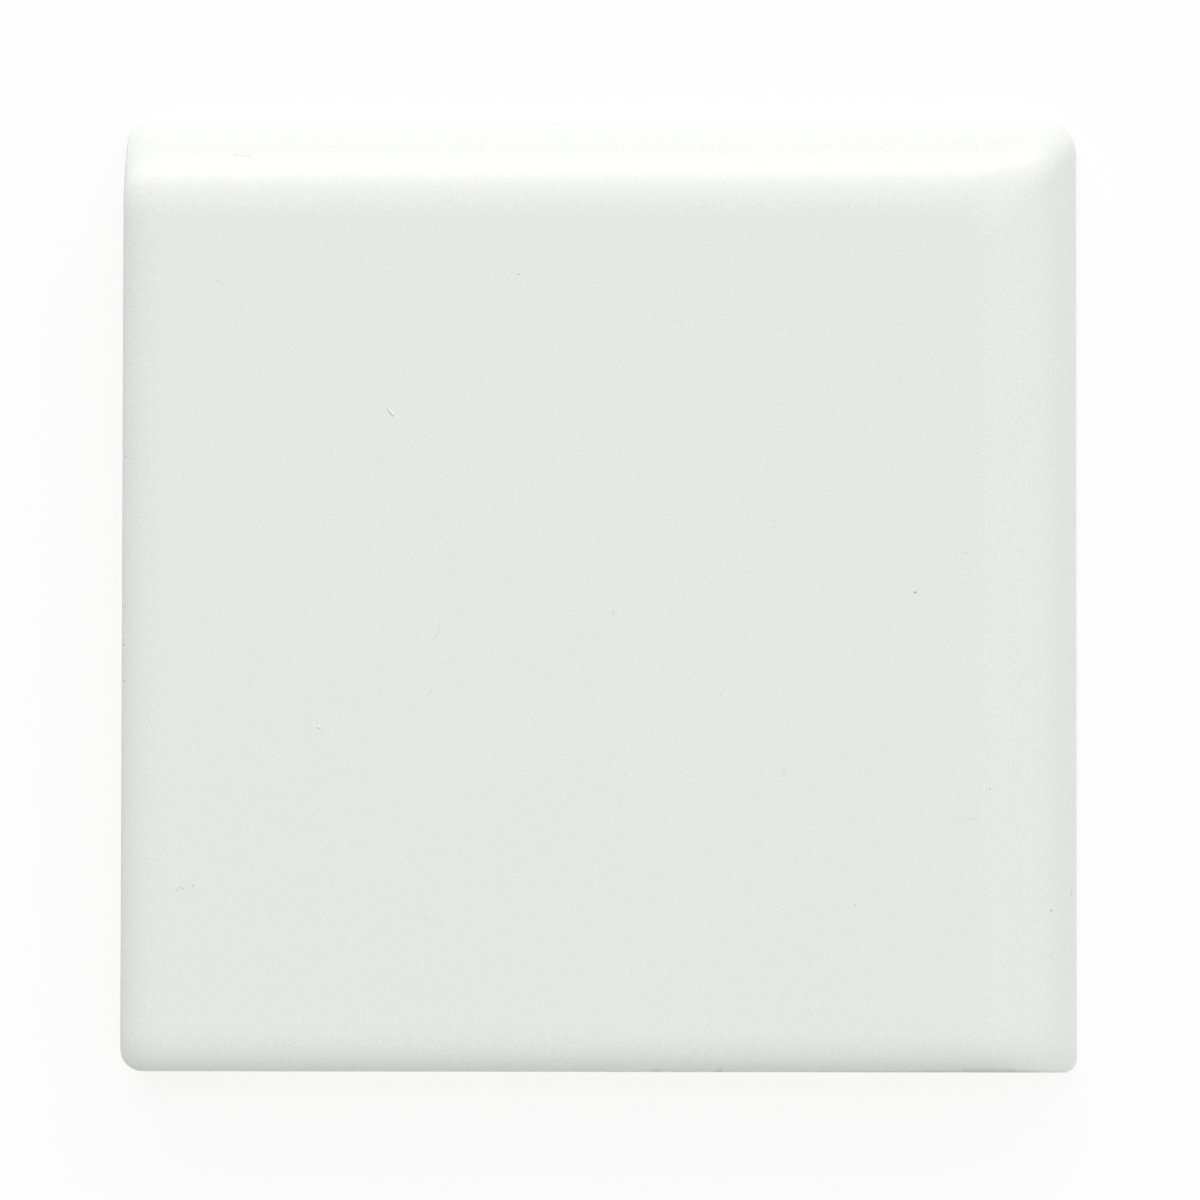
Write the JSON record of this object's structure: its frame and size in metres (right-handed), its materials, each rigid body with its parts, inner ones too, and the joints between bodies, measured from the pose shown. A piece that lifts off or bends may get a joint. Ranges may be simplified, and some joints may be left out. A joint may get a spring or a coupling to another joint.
{
  "type": "bullnose tile",
  "caption": "Square white glazed wall tile whose adjoining edges roll over in a bullnose and meet in a softened outside corner, with cushioned square edges and a keyed back.",
  "frame": {"origin": "centre of the tile's outline, on the back's resting plane", "axes": "+Z out of the glazed face, +X and +Y towards the two rolled edges"},
  "size_m": [0.108, 0.108, 0.0095],
  "materials": {
    "glaze": "satin white glaze"
  },
  "bodies": {
    "root": {"bullnose_tile": "glaze"}
  },
  "joints": []
}
